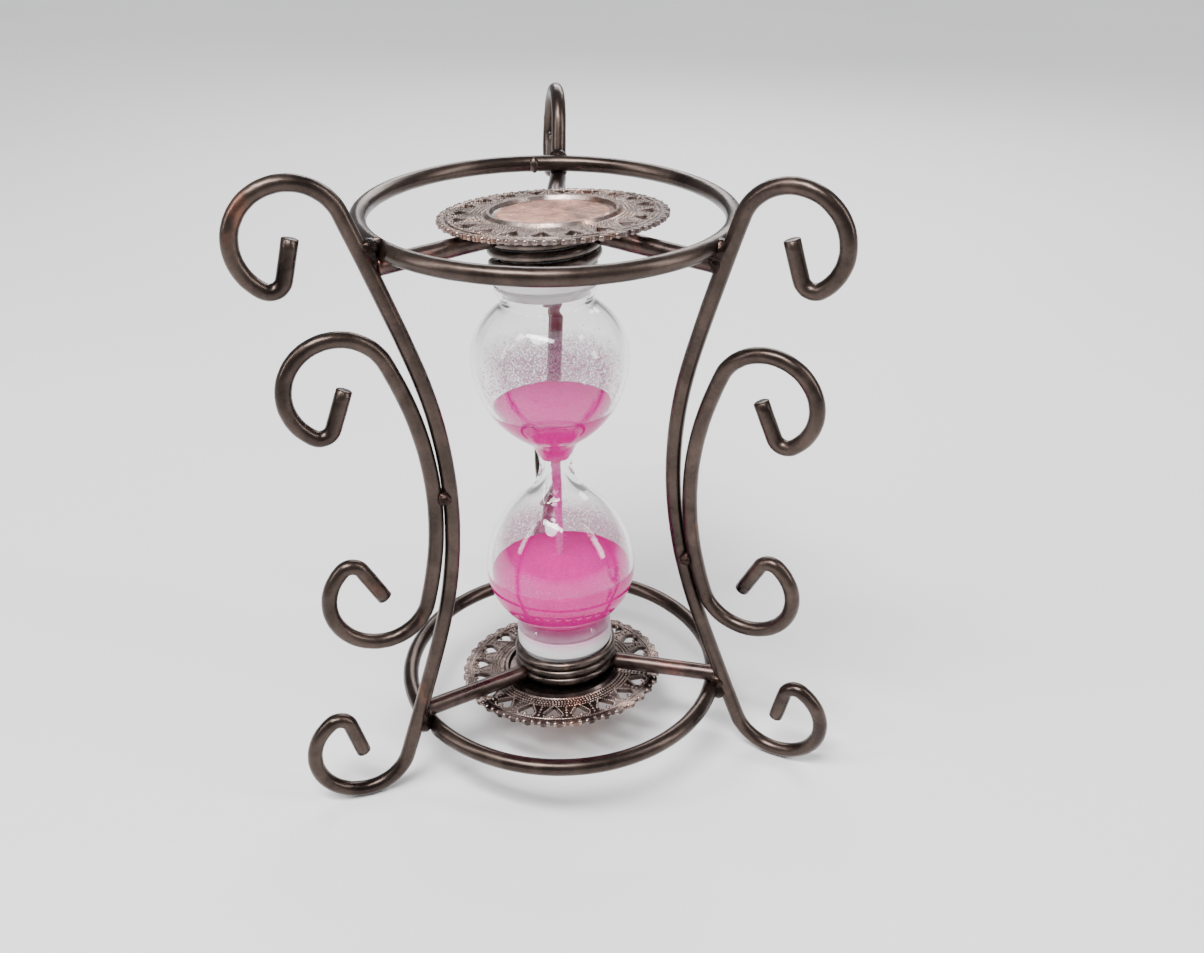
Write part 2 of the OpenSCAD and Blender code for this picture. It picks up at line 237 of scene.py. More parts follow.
class Shade:
    """Short hand for a material's node tree."""

    def __init__(self, name):
        self.material = bpy.data.materials.new(name)
        self.material.use_nodes = True
        self.nodes = self.material.node_tree.nodes
        self.links = self.material.node_tree.links
        self.shader = self.nodes["Principled BSDF"]
        coordinates = self.nodes.new("ShaderNodeTexCoord")
        self.object = coordinates.outputs["Object"]

    def set(self, **values):
        for key, value in values.items():
            self.shader.inputs[key.replace("_", " ")].default_value = value

    def mapped(self, scale):
        mapping = self.nodes.new("ShaderNodeMapping")
        mapping.inputs["Scale"].default_value = scale
        self.links.new(self.object, mapping.inputs["Vector"])
        return mapping.outputs["Vector"]

    def noise(self, scale, detail=4.0, roughness=0.6, stretch=(1, 1, 1), distortion=0.0):
        texture = self.nodes.new("ShaderNodeTexNoise")
        texture.inputs["Scale"].default_value = scale
        texture.inputs["Detail"].default_value = detail
        texture.inputs["Roughness"].default_value = roughness
        texture.inputs["Distortion"].default_value = distortion
        self.links.new(self.mapped(stretch), texture.inputs["Vector"])
        return texture.outputs["Fac"]

    def cells(self, scale, output="Distance"):
        texture = self.nodes.new("ShaderNodeTexVoronoi")
        texture.inputs["Scale"].default_value = scale
        self.links.new(self.object, texture.inputs["Vector"])
        return texture.outputs[output]

    def ramp(self, value, stops):
        ramp = self.nodes.new("ShaderNodeValToRGB")
        elements = ramp.color_ramp.elements
        while len(elements) < len(stops):
            elements.new(0.5)
        for element, (position, colour) in zip(elements, stops):
            element.position = position
            element.color = (*colour, 1) if len(colour) == 3 else colour
        self.links.new(value, ramp.inputs["Fac"])
        return ramp.outputs["Color"]

    def grey(self, value, low, high, start=0.0, end=1.0):
        return self.ramp(value, [(start, (low,) * 3), (end, (high,) * 3)])

    def mix(self, factor, a, b, blend="MIX"):
        node = self.nodes.new("ShaderNodeMix")
        node.data_type = "RGBA"
        node.blend_type = blend
        for socket, value in ((node.inputs[0], factor), (node.inputs[6], a), (node.inputs[7], b)):
            if isinstance(value, bpy.types.NodeSocket):
                self.links.new(value, socket)
            else:
                socket.default_value = value if not isinstance(value, tuple) else (*value, 1)
        return node.outputs[2]

    def maths(self, operation, a, b=None):
        node = self.nodes.new("ShaderNodeMath")
        node.operation = operation
        for socket, value in zip(node.inputs, (a, b)):
            if isinstance(value, bpy.types.NodeSocket):
                self.links.new(value, socket)
            elif value is not None:
                socket.default_value = value
        return node.outputs[0]

    def axis(self, letter):
        separate = self.nodes.new("ShaderNodeSeparateXYZ")
        self.links.new(self.object, separate.inputs[0])
        return separate.outputs[letter]

    def height(self):
        return self.axis("Z")

    def bump(self, value, strength, distance_mm):
        node = self.nodes.new("ShaderNodeBump")
        node.inputs["Strength"].default_value = strength
        node.inputs["Distance"].default_value = distance_mm * MM
        self.links.new(value, node.inputs["Height"])
        previous = self.shader.inputs["Normal"]
        if previous.is_linked:
            self.links.new(previous.links[0].from_socket, node.inputs["Normal"])
        self.links.new(node.outputs["Normal"], previous)

    def link(self, value, socket):
        self.links.new(value, self.shader.inputs[socket])


def antique_bronze(name, dark, light, worn, wear_from, seed):
    """Dark patina over bronze, with drawn-wire streaks, blotches and copper where it is rubbed."""
    s = Shade(name)
    s.set(Metallic=0.95, IOR=1.6, Coat_Weight=0.14, Coat_Roughness=0.25)
    blotches = s.noise(110, 5, 0.55, (1, 1, 1), 0.6 + seed)
    fine = s.noise(1500, 3, 0.7)
    base = s.ramp(blotches, [(0.3, dark), (0.7, light)])
    wear = s.noise(60, 4, 0.65, (1, 1, 0.6), seed)
    rubbed = s.ramp(wear, [(wear_from, (0, 0, 0)), (wear_from + 0.14, (1, 1, 1))])
    base = s.mix(rubbed, base, worn)
    specks = s.ramp(fine, [(0.32, (0.7, 0.66, 0.64)), (0.55, (1, 1, 1))])
    s.link(s.mix(0.6, base, specks, "MULTIPLY"), "Base Color")
    s.link(s.grey(blotches, 0.25, 0.42, 0.3, 0.75), "Roughness")
    s.bump(s.noise(500, 4, 0.6), 0.22, 0.08)
    s.bump(s.noise(2600, 2, 0.5), 0.2, 0.025)
    return s.material


def weld_metal():
    s = Shade("weld_metal")
    s.set(Metallic=0.9, IOR=1.6)
    heat = s.noise(260, 4, 0.6, (1, 1, 1), 0.8)
    stops = [(0.4, (0.01, 0.006, 0.005)), (0.65, (0.035, 0.02, 0.016)), (0.85, (0.14, 0.06, 0.038))]
    s.link(s.ramp(heat, stops), "Base Color")
    s.link(s.grey(heat, 0.42, 0.25), "Roughness")
    s.bump(s.noise(900, 4, 0.7), 0.5, 0.12)
    return s.material


def filigree_metal(name, dark, light, copper, copper_from):
    """Antiqued plate: dark in the recesses, satin on the raised places, copper showing in patches."""
    s = Shade(name)
    s.set(Metallic=0.95, IOR=1.6)
    patches = s.noise(80, 5, 0.6, (1, 1, 1), 0.9)
    base = s.ramp(patches, [(0.3, dark), (copper_from, light), (copper_from + 0.12, copper)])
    grime = s.ramp(s.noise(520, 5, 0.7), [(0.36, (0.35, 0.3, 0.28)), (0.56, (1, 1, 1))])
    s.link(s.mix(0.8, base, grime, "MULTIPLY"), "Base Color")
    s.link(s.grey(patches, 0.34, 0.2, 0.35, 0.65), "Roughness")
    s.bump(s.noise(650, 4, 0.6), 0.35, 0.08)
    s.bump(s.noise(3200, 2, 0.5), 0.3, 0.025)
    return s.material


def clear_glass():
    s = Shade("vial_glass")
    s.set(Base_Color=(0.985, 0.99, 0.988, 1), Transmission_Weight=1.0, IOR=1.47)
    s.link(s.grey(s.noise(60, 3, 0.5), 0.0, 0.02, 0.4, 0.8), "Roughness")
    s.bump(s.noise(45, 2, 0.4), 0.03, 0.15)
    return s.material


def white_plastic(name, clean_z, dusty_z):
    """White satin plastic, tinted by sand dust towards the height given as dusty, in millimetres."""
    s = Shade(name)
    s.set(IOR=1.48, Subsurface_Weight=0.2, Subsurface_Scale=0.0015, Subsurface_Radius=(1.0, 0.7, 0.8))
    haze = s.noise(220, 4, 0.6)
    white = s.ramp(haze, [(0.3, (0.78, 0.75, 0.75)), (0.7, (0.86, 0.85, 0.84))])
    span = s.nodes.new("ShaderNodeMapRange")
    span.inputs["From Min"].default_value = clean_z * MM
    span.inputs["From Max"].default_value = dusty_z * MM
    ragged = s.maths("ADD", s.height(), s.maths("MULTIPLY", s.noise(700, 4, 0.7), 1.2 * MM))
    s.links.new(ragged, span.inputs["Value"])
    s.link(s.mix(span.outputs["Result"], white, (0.78, 0.1, 0.42)), "Base Color")
    s.link(s.grey(haze, 0.3, 0.48), "Roughness")
    s.bump(s.noise(1400, 3, 0.5), 0.15, 0.04)
    return s.material


def pink_sand(name, dark, light):
    s = Shade(name)
    # a faint painted glow: the sand gives off pink light of its own, though it is no lamp, to keep it bright
    # and strongly pink behind the glass
    s.set(IOR=1.45, Specular_IOR_Level=0.2, Emission_Color=(0.9, 0.0, 0.36, 1), Emission_Strength=0.2)
    grains = s.cells(3600, "Color")
    tone = s.noise(2400, 2, 0.6)
    drift = s.noise(120, 3, 0.5)
    base = s.mix(s.grey(drift, 0, 0.55, 0.4, 0.65), s.ramp(tone, [(0.3, dark), (0.7, light)]), dark)
    sparkle = s.ramp(grains, [(0.1, (0.8, 0.62, 0.74)), (0.6, (1, 1, 1))])
    s.link(s.mix(0.6, base, sparkle, "MULTIPLY"), "Base Color")
    s.link(s.grey(tone, 0.8, 0.55), "Roughness")
    s.bump(s.cells(3600), 0.6, 0.1)
    return s.material


# Each bronze: darkest patina, lightest patina, rubbed copper, where the rubbing starts, seed
BRONZE = antique_bronze(
    "bronze_wire", (0.026, 0.017, 0.014), (0.088, 0.062, 0.051), (0.2, 0.09, 0.06), 0.62, 0.0)
SPOKE_BRONZE = antique_bronze(
    "bronze_spoke", (0.03, 0.019, 0.017), (0.1, 0.068, 0.058), (0.2, 0.078, 0.066), 0.6, 1.3)
COIL_BRONZE = antique_bronze(
    "coil_wire", (0.04, 0.03, 0.026), (0.16, 0.125, 0.108), (0.26, 0.15, 0.11), 0.64, 2.1)
WELD = weld_metal()
# Each plate: recesses, raised places, bare copper, where the copper starts
DARK_PLATE = filigree_metal(
    "filigree_dark", (0.02, 0.014, 0.013), (0.085, 0.062, 0.056), (0.2, 0.12, 0.095), 0.56)
SATIN_PLATE = filigree_metal(
    "filigree_satin", (0.13, 0.1, 0.09), (0.3, 0.24, 0.22), (0.42, 0.24, 0.18), 0.5)
COPPER_PLATE = filigree_metal(
    "filigree_copper", (0.5, 0.2, 0.13), (0.7, 0.33, 0.22), (0.8, 0.43, 0.31), 0.5)
BEAD_PLATE = filigree_metal(
    "filigree_beads", (0.14, 0.11, 0.1), (0.36, 0.28, 0.25), (0.46, 0.28, 0.21), 0.56)
GLASS = clear_glass()
TOP_WHITE = white_plastic("white_plastic_top", 99, 84)
BOTTOM_WHITE = white_plastic("white_plastic_bottom", 23.5, 28)
# all three sands below carry the same faint painted glow
SAND = pink_sand("pink_sand", (0.74, 0.0, 0.27), (0.92, 0.008, 0.43))
STREAM = pink_sand("sand_stream", (0.72, 0.08, 0.38), (0.9, 0.26, 0.6))
DUST = pink_sand("sand_dust", (0.62, 0.16, 0.42), (0.85, 0.38, 0.66))


# ---------------------------------------------------------------- stand

def round_wire(node, material, radius_mm, seed):
    """The CAD wire, smoothed round, with its hand-worked unevenness and softened cut ends."""
    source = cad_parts[node].data
    bm = bmesh.new()
    bm.from_mesh(source)
    bmesh.ops.remove_doubles(bm, verts=bm.verts, dist=1e-6)
    bmesh.ops.join_triangles(bm, faces=bm.faces, angle_face_threshold=math.radians(1.5),
                             angle_shape_threshold=math.radians(60))
    bmesh.ops.dissolve_limit(bm, angle_limit=math.radians(0.5), use_dissolve_boundaries=False,
                             verts=bm.verts, edges=bm.edges)
    bm.normal_update()
    fill_out = radius_mm * 0.028 * MM
    creases = bm.edges.layers.float.get("crease_edge") or bm.edges.layers.float.new("crease_edge")
    for edge in bm.edges:
        if len(edge.link_faces) == 2 and edge.calc_face_angle() > math.radians(60):
            edge[creases] = 0.85
    shift = Vector((seed * 11.3, seed * 5.1, seed * 2.7))
    for v in bm.verts:
        v.co += v.normal * fill_out
        v.co += noise.noise_vector(v.co / (9 * MM) + shift) * 0.05 * MM
    mesh = bpy.data.meshes.new(node + "_wire")
    bm.to_mesh(mesh)
    bm.free()
    wire = dress(node + "_wire", mesh, material, node)
    add_modifier(wire, "SUBSURF", levels=2, render_levels=2)
    dents = bpy.data.textures.get("wire_dents") or bpy.data.textures.new("wire_dents", "CLOUDS")
    dents.noise_scale = 1.6 * MM
    add_modifier(wire, "DISPLACE", texture=dents, strength=0.09 * MM, mid_level=0.5,
                 texture_coords="LOCAL")
    return wire


def scarf(out, up, along, radius):
    """Where a point of the wire's section goes when the wire's end is filed to a long slant."""
    if not 0 <= along <= SCARF_LENGTH:
        return out, up
    face = (math.cos(0.35), math.sin(0.35))
    limit = radius * (1 - 1.2 * along / SCARF_LENGTH)
    over = max(0.0, out * face[0] + up * face[1] - limit)
    return out - over * face[0], up - over * face[1]


def ring_wire(node, seed, cut_deg):
    """A ring of round wire, bent by hand, whose filed end laps its start."""
    low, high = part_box(node)
    centre = (low + high) / 2
    wire_r = (high.z - low.z) / 2
    radius = (high.x - low.x) / 2 - wire_r
    rings = []
    steps = 720
    for i in range(steps):
        angle = math.radians(cut_deg) - TAU * i / steps
        along = TAU * i / steps * radius
        out = Vector((math.cos(angle), math.sin(angle), 0))
        wander = 0.1 * MM * noise.noise(out * 1.6 + Vector((seed, 0, 0)))
        lift = 0.05 * MM * noise.noise(out * 2.2 + Vector((0, seed, 4)))
        path = centre + out * (radius - 0.08 * MM + wander) + Vector((0, 0, lift))
        ring = []
        for k in range(WIRE_CORNERS):
            turn = TAU * k / WIRE_CORNERS
            r = wire_r * (0.985 + 0.014 * noise.noise(path / (3 * MM) + Vector((turn, seed, 0))))
            outward, upward = scarf(r * math.cos(turn), r * math.sin(turn), along, wire_r)
            ring.append(path + out * outward + Vector((0, 0, upward)))
        rings.append(ring)
    verts, faces = sweep(rings, closed=True)
    wire = piece(node + "_wire", verts, faces, BRONZE, node)
    bead_angle = math.radians(cut_deg) - (SCARF_LENGTH + 0.7 * MM) / radius
    out = Vector((math.cos(bead_angle), math.sin(bead_angle), 0))
    at = centre + out * (radius + wire_r * 0.75)
    place = Matrix.Translation(at) @ Matrix.Diagonal((0.5 * MM, 0.5 * MM, 1.2 * MM, 1))
    verts, faces = copies(ball(3), [place])
    piece(node + "_end_bead", rough(verts, 0.12, 0.8, seed), faces, SPOKE_BRONZE, None)
    return wire


def weld_beads(node, voxel_mm, seed):
    """The CAD beads run together and slumped as solidified metal."""
    beads = dress(node + "_beads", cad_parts[node].data.copy(), WELD, node)
    add_modifier(beads, "REMESH", mode="VOXEL", voxel_size=voxel_mm * MM, use_smooth_shade=True)
    add_modifier(beads, "SMOOTH", factor=0.6, iterations=8)
    lumps = bpy.data.textures.new(node + "_lumps", "CLOUDS")
    lumps.noise_scale = (1.1 + 0.1 * seed) * MM
    add_modifier(beads, "DISPLACE", texture=lumps, strength=0.55 * MM, mid_level=0.62, texture_coords="LOCAL")
    return beads


def build_stand():
    for index, side in enumerate(("rear", "left", "right")):
        round_wire("leg_" + side, BRONZE, LEG_WIRE_R, index + 1)
        round_wire("scroll_" + side, BRONZE, LEG_WIRE_R, index + 4)
        for level in ("top_spoke_", "bottom_spoke_"):
            spoke(level + side, index + 7)
    ring_wire("top_ring", 2.0, TOP_RING_CUT_DEG)
    ring_wire("bottom_ring", 5.0, BOTTOM_RING_CUT_DEG)
    rear_bead()
    weld_beads("joint_welds", WELD_VOXEL, 1)
    weld_beads("scroll_tacks", WELD_VOXEL, 2)


def rear_bead():
    """The drop of copper left where the rear spoke was brazed to the top ring."""
    low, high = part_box("top_ring")
    centre, wire_r = (low + high) / 2, (high.z - low.z) / 2
    angle = math.radians(101)
    out = Vector((math.cos(angle), math.sin(angle), 0))
    at = centre + out * ((high.x - low.x) / 2 - 2 * wire_r)
    place = Matrix.Translation(at) @ Matrix.Diagonal((1.0 * MM, 0.9 * MM, 1.55 * MM, 1))
    verts, faces = copies(ball(3), [place])
    piece("rear_bead", rough(verts, 0.18, 1.2, 4), faces, SPOKE_BRONZE, None)


def spoke(node, seed):
    """A straight rod rebuilt along the CAD rod's own axis, with filed, slightly rounded ends."""
    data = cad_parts[node].data
    points = [v.co.copy() for v in data.vertices]
    far_a = max(points, key=lambda p: (p - points[0]).length)
    far_b = max(points, key=lambda p: (p - far_a).length)
    near_a = [p for p in points if (p - far_a).length < (far_b - far_a).length * 0.3]
    near_b = [p for p in points if (p - far_b).length < (far_b - far_a).length * 0.3]
    start = sum(set_of(near_a), Vector()) / len(set_of(near_a))
    end = sum(set_of(near_b), Vector()) / len(set_of(near_b))
    axis = (end - start).normalized()
    across = axis.orthogonal().normalized()
    other = axis.cross(across)
    radius = max((p - start).cross(axis).length for p in near_a)
    length = (end - start).length
    rounding = 0.3 * MM
    stations = [(0, radius - rounding), (rounding * 0.3, radius - rounding * 0.3), (rounding, radius)]
    inner = [(rounding + (length - 2 * rounding) * i / 40, radius) for i in range(1, 40)]
    stations = stations + inner + [(length - d, r) for d, r in reversed(stations)]
    rings = []
    for along, r in stations:
        centre = start + axis * along
        ring = []
        for k in range(WIRE_CORNERS):
            turn = TAU * k / WIRE_CORNERS
            dent = 1 - 0.02 * abs(noise.noise(centre / (4 * MM) + Vector((turn, seed, 0))))
            ring.append(centre + (across * math.cos(turn) + other * math.sin(turn)) * r * dent)
        rings.append(ring)
    verts, faces = sweep(rings)
    return piece(node + "_rod", verts, faces, SPOKE_BRONZE, node)


def set_of(points):
    """The points without the copies that shared corners leave."""
    seen = {}
    for p in points:
        seen[tuple(round(c, 7) for c in p)] = p
    return list(seen.values())


# ---------------------------------------------------------------- vial

def bulb_outline(waist_r, widest_z, inset):
    """Outline of one bulb from neck to mouth, as the CAD vial's arcs but smoother."""
    bulge = SHOULDER_R - BULB_R
    shoulder, crown, widest, end_r = SHOULDER_R - inset, CROWN_R - inset, BULB_R - inset, MOUTH_R - inset
    lead = ((waist_r + bulge) ** 2 + widest_z ** 2 - shoulder ** 2) / (2 * (widest - waist_r))
    turn = math.degrees(math.atan2(widest_z, waist_r + lead + bulge))
    throat_r = THROAT_R - inset
    crown_turn = math.degrees(math.acos((throat_r + 0.5 - widest + crown) / crown))
    points = arc((waist_r + lead, 0), lead, 180, 180 - turn, 20)
    points += arc((-bulge, widest_z), shoulder, -turn, 0, 36)[1:]
    points += arc((widest - crown, widest_z), crown, 0, crown_turn, 24)[1:]
    # the wall draws in to a throat and opens again into the straight mouth
    start, lip_z = points[-1], MOUTH_Z - 0.8
    heading = Vector((-math.sin(math.radians(crown_turn)), math.cos(math.radians(crown_turn))))
    reach = (lip_z - start[1]) * 0.55
    bend_a = (start[0] + heading.x * reach, start[1] + heading.y * reach)
    bend_b = (end_r, lip_z - reach * 0.6)
    for i in range(1, 13):
        t = i / 12
        weights = ((1 - t) ** 3, 3 * t * (1 - t) ** 2, 3 * t * t * (1 - t), t ** 3)
        corners = (start, bend_a, bend_b, (end_r, lip_z))
        points.append(tuple(sum(w * c[axis] for w, c in zip(weights, corners)) for axis in (0, 1)))
    return points + [(end_r, MOUTH_Z - 0.4)]


def vial_glass():
    outside = bulb_outline(NECK_R, UPPER_BULB_Z, 0)
    outside_low = [(r, -z) for r, z in bulb_outline(NECK_R, LOWER_BULB_Z, 0)]
    inside = bulb_outline(BORE_R, UPPER_BULB_Z, GLASS_T)
    inside_low = [(r, -z) for r, z in bulb_outline(BORE_R, LOWER_BULB_Z, GLASS_T)]
    lip = GLASS_T / 2
    top_lip = arc((MOUTH_R - lip, MOUTH_Z - 0.4), lip, 0, 180, 6)[1:-1]
    low_lip = [(r, -z) for r, z in reversed(top_lip)]
    profile = outside_low[:0:-1] + outside + top_lip + inside[::-1] + inside_low[1:] + low_lip
    verts, faces = lathe(profile, VIAL, 192, loop=True)
    return piece("vial_glass", verts, faces, GLASS, "glass_vial")


def rounded(profile, radius=0.35):
    """Every corner of a turned outline eased by a short curve."""
    out = [profile[0]]
    for a, b, c in zip(profile, profile[1:], profile[2:]):
        va, vc = Vector(a) - Vector(b), Vector(c) - Vector(b)
        reach = min(radius, va.length / 2, vc.length / 2)
        pa, pc = Vector(b) + va.normalized() * reach, Vector(b) + vc.normalized() * reach
        for i in range(5):
            t = i / 4
            out.append(tuple((1 - t) ** 2 * pa + 2 * t * (1 - t) * Vector(b) + t * t * pc))
    return out + [profile[-1]]


def stopper(node, up):
    flip = VIAL if up > 0 else VIAL @ Matrix.Diagonal((1, 1, -1, 1))
    plug_r = MOUTH_R - GLASS_T + 0.08
    if up > 0:
        nose = [(0, PLUG_Z + 0.2), (plug_r * 0.6, PLUG_Z + 0.35), (plug_r - 0.75, PLUG_Z + 1.1)]
    else:
        nose = [(0, PLUG_Z), (plug_r - 0.4, PLUG_Z), (plug_r - 0.2, PLUG_Z + 0.8)]
    outline = nose + [
        (plug_r, PLUG_Z + 2.3),
        (plug_r, MOUTH_Z), (MOUTH_R, MOUTH_Z + 0.05),
        (MOUTH_R, FLANGE_Z), (SPIGOT_R, FLANGE_Z), (SPIGOT_R, SPIGOT_Z), (0, SPIGOT_Z),
    ]
    verts, faces = lathe(rounded(outline), flip, 128)
    material = TOP_WHITE if up > 0 else BOTTOM_WHITE
    return piece(node + "_turned", verts, faces, material, node)


def socket_coil(node, up, turns, seat_z, start_deg):
    """A close coil of wire, its turns a little uneven, with cut ends."""
    low_z = FLANGE_Z + COIL_WIRE_R
    rise = seat_z - COIL_WIRE_R - low_z
    steps, corners = int(turns * 72), 18
    rings = []
    for i in range(steps + 1):
        share = i / steps
        angle = math.radians(start_deg) + TAU * turns * share * (1 if up > 0 else -1)
        wobble = 0.06 * noise.noise(Vector((angle * 0.7, up, 3)))
        out = Vector((math.cos(angle), math.sin(angle), 0))
        height = (low_z + rise * share + wobble) * up
        centre = out * (COIL_R + wobble) + Vector((0, 0, height))
        ring = []
        for k in range(corners):
            turn = TAU * k / corners
            local = centre + (out * math.cos(turn) + Vector((0, 0, math.sin(turn)))) * COIL_WIRE_R
            ring.append(VIAL @ (local * MM))
        rings.append(ring)
    verts, faces = sweep(rings)
    wire = piece(node + "_wire", verts, faces, COIL_BRONZE, node)
    add_modifier(wire, "BEVEL", width=0.12 * MM, segments=2, limit_method="ANGLE",
                 angle_limit=math.radians(60))
    return wire


# ---------------------------------------------------------------- sand

def sand_body(name, node, profile, surface_rows, seed):
    """A turned body of sand with uneven, grainy free surface rows."""
    steps = 160
    verts, faces = lathe(profile, Matrix.Identity(4), steps)
    moved = []
    for v in verts:
        if surface_rows[0] <= v.z / MM <= surface_rows[1]:
            inward = 1 - min(1, Vector((v.x, v.y)).length / (BULB_R * MM))
            bumpy = 0.35 * noise.noise(v / (4 * MM) + Vector((seed, 0, 0)))
            grain = 0.16 * noise.noise(v / (0.5 * MM) + Vector((0, seed, 0)))
            v = v + Vector((0, 0, (bumpy * (0.3 + inward) + grain) * MM))
        moved.append(VIAL @ v)
    return piece(name, moved, faces, SAND, node)


def below(points, height):
    """The part of an outline up to a height, ended exactly there."""
    kept = []
    for a, b in zip(points, points[1:]):
        kept.append(a)
        if a[1] <= height < b[1]:
            t = (height - a[1]) / (b[1] - a[1])
            kept.append((a[0] + (b[0] - a[0]) * t, height))
            break
    return kept


def sand_in_upper():
    wall = below(bulb_outline(BORE_R + SAND_CONTACT, UPPER_BULB_Z, GLASS_T - SAND_CONTACT), UPPER_SAND_Z)
    rim_r, rim_z = wall[-1]
    crater = [(rim_r * (1 - i / 40), rim_z - 0.9 * (1 - (1 - i / 40) ** 2)) for i in range(1, 41)]
    profile = [(0, 0.7)] + [p for p in wall if p[1] > 0.7] + crater
    return sand_body("sand_upper_grains", "sand_upper", profile, (rim_z - 1.0, rim_z + 0.01), 2)


def sand_in_lower():
    wall = bulb_outline(BORE_R + SAND_CONTACT, LOWER_BULB_Z, GLASS_T - SAND_CONTACT)
    filled = [(r, -z) for r, z in wall if LOWER_SAND_Z < z < PLUG_Z + 0.1]
    rim_r = filled[0][0]
    rows = 44
    mound = [(rim_r * (1 - i / rows), -LOWER_SAND_Z + 2.4 * (i / rows) ** 1.4)
             for i in range(1, rows + 1)]
    floor = [(0, -PLUG_Z - 0.1), (filled[-1][0], -PLUG_Z - 0.1)]
    profile = floor + filled[::-1] + mound
    surface = (-LOWER_SAND_Z - 0.2, -LOWER_SAND_Z + 2.5)
    return sand_body("sand_lower_grains", "sand_lower", profile, surface, 5)


def sand_falling():
    """The falling stream, ragged at its edges and thinning as it falls."""
    top, bottom = 0.3, -LOWER_SAND_Z + 1.6
    rings = []
    for i in range(61):
        share = i / 60
        height = top + (bottom - top) * share
        radius = 0.95 - 0.3 * share
        ring = []
        for k in range(16):
            turn = TAU * k / 16
            ragged = 1 + 0.25 * noise.noise(Vector((math.cos(turn) * 2, math.sin(turn) * 2, height * 1.5)))
            ring.append(VIAL @ Vector((radius * ragged * math.cos(turn) * MM,
                                       radius * ragged * math.sin(turn) * MM, height * MM)))
        rings.append(ring)
    verts, faces = sweep(rings)
    return piece("sand_stream_grains", verts, faces, STREAM, "sand_stream")


def grain(at, size):
    """A place for one grain, turned at random; at is in the vial's own millimetres."""
    turn = Matrix.Rotation(RNG.random() * TAU, 4, Vector((RNG.random(), RNG.random(), 1)).normalized())
    long = 1 + 0.5 * RNG.random()
    shape = Matrix.Diagonal((size * long * MM, size * MM, size * MM, 1))
    return VIAL @ Matrix.Translation(at * MM) @ turn @ shape


def loose_grains():
    """Grains that cling to the glass above the sand, or bounce beside the stream."""
    places = []
    upper = bulb_outline(BORE_R, UPPER_BULB_Z, GLASS_T)
    for _ in range(3600):
        height = UPPER_SAND_Z - 0.5 + abs(RNG.gauss(0, 3.6))
        if height > UPPER_BULB_Z + 6:
            continue
        wall_r = next(r for r, z in upper if z >= height) - 0.12
        angle = RNG.uniform(0, TAU)
        if RNG.random() > 0.5 + 0.5 * math.sin(angle):
            continue
        at = Vector((wall_r * math.cos(angle), wall_r * math.sin(angle), height))
        places.append(grain(at, RNG.uniform(0.06, 0.15)))
    lower = bulb_outline(BORE_R, LOWER_BULB_Z, GLASS_T)
    for _ in range(1300):
        height = LOWER_SAND_Z + 0.3 - abs(RNG.gauss(0, 3.4))
        if height < 3:
            continue
        wall_r = next(r for r, z in lower if z >= height) - 0.12
        angle = RNG.uniform(0, TAU)
        if RNG.random() > 0.6 + 0.4 * math.sin(angle):
            continue
        at = Vector((wall_r * math.cos(angle), wall_r * math.sin(angle), -height))
        places.append(grain(at, RNG.uniform(0.05, 0.13)))
    for _ in range(420):
        height = -RNG.uniform(3, LOWER_SAND_Z - 2.5)
        spread = abs(RNG.gauss(0, 0.3)) + 0.55
        angle = RNG.uniform(0, TAU)
        at = Vector((spread * math.cos(angle), spread * math.sin(angle), height))
        places.append(grain(at, RNG.uniform(0.06, 0.13)))
    verts, faces = copies(ball(1), places)
    return piece("loose_grains", verts, faces, DUST, None)


def film_material(name, full_z, gone_z, rear_y):
    """Dust on the rear glass, dense near the sand and ragged where it thins out; millimetres."""
    s = Shade(name)
    s.set(Roughness=0.9, IOR=1.4, Specular_IOR_Level=0.1)
    speckle = s.noise(2600, 3, 0.7)
    s.link(s.ramp(speckle, [(0.35, (0.72, 0.42, 0.6)), (0.65, (0.86, 0.62, 0.76))]), "Base Color")
    span = s.nodes.new("ShaderNodeMapRange")
    span.inputs["From Min"].default_value = gone_z * MM
    span.inputs["From Max"].default_value = full_z * MM
    ragged = s.maths("ADD", s.height(), s.maths("MULTIPLY", s.noise(260, 4, 0.65), -5.5 * MM))
    s.links.new(ragged, span.inputs["Value"])
    cover = s.maths("MULTIPLY", span.outputs["Result"], s.grey(speckle, 0.1, 0.75, 0.4, 0.62))
    rear = s.nodes.new("ShaderNodeMapRange")
    rear.inputs["From Min"].default_value = rear_y * MM
    rear.inputs["From Max"].default_value = (rear_y + 6) * MM
    s.links.new(s.axis("Y"), rear.inputs["Value"])
    s.link(s.maths("MULTIPLY", cover, rear.outputs["Result"]), "Alpha")
    s.bump(speckle, 0.4, 0.05)
    return s.material


def dust_film(name, side, low_z, high_z, widest_z, material):
    """A thin skin on the inside of one bulb between two heights from the neck."""
    inner = [p for p in bulb_outline(BORE_R, widest_z, GLASS_T + 0.06) if low_z <= p[1] <= high_z]
    skin = [(r - 0.05, z) for r, z in reversed(inner)]
    profile = [(r, z * side) for r, z in inner + skin]
    verts, faces = lathe(profile, VIAL, 128, loop=True)
    return piece(name, verts, faces, material, None)


# ---------------------------------------------------------------- filigree discs

def heart_curve(grow, steps=14):
    """Outline of a heart opening grown by a margin: lobes towards +X, tip towards -X."""
    radius = HEART_LOBE_R + grow
    start = math.radians(117)
    cleft = -math.asin(HEART_LOBE_GAP / radius)
    half = []
    for i in range(steps + 1):
        angle = start + (cleft - start) * i / steps
        half.append((HEART_LOBE_R + radius * math.cos(angle), HEART_LOBE_GAP + radius * math.sin(angle)))
    tip = (-HEART_TIP - 1.3 * grow, 0.0)
    side = [tuple(a + (b - a) * t / 6 for a, b in zip(tip, half[0])) for t in range(6)]
    right = side + half
    left = [(x, -y) for x, y in reversed(right[1:-1])]
    return right + left


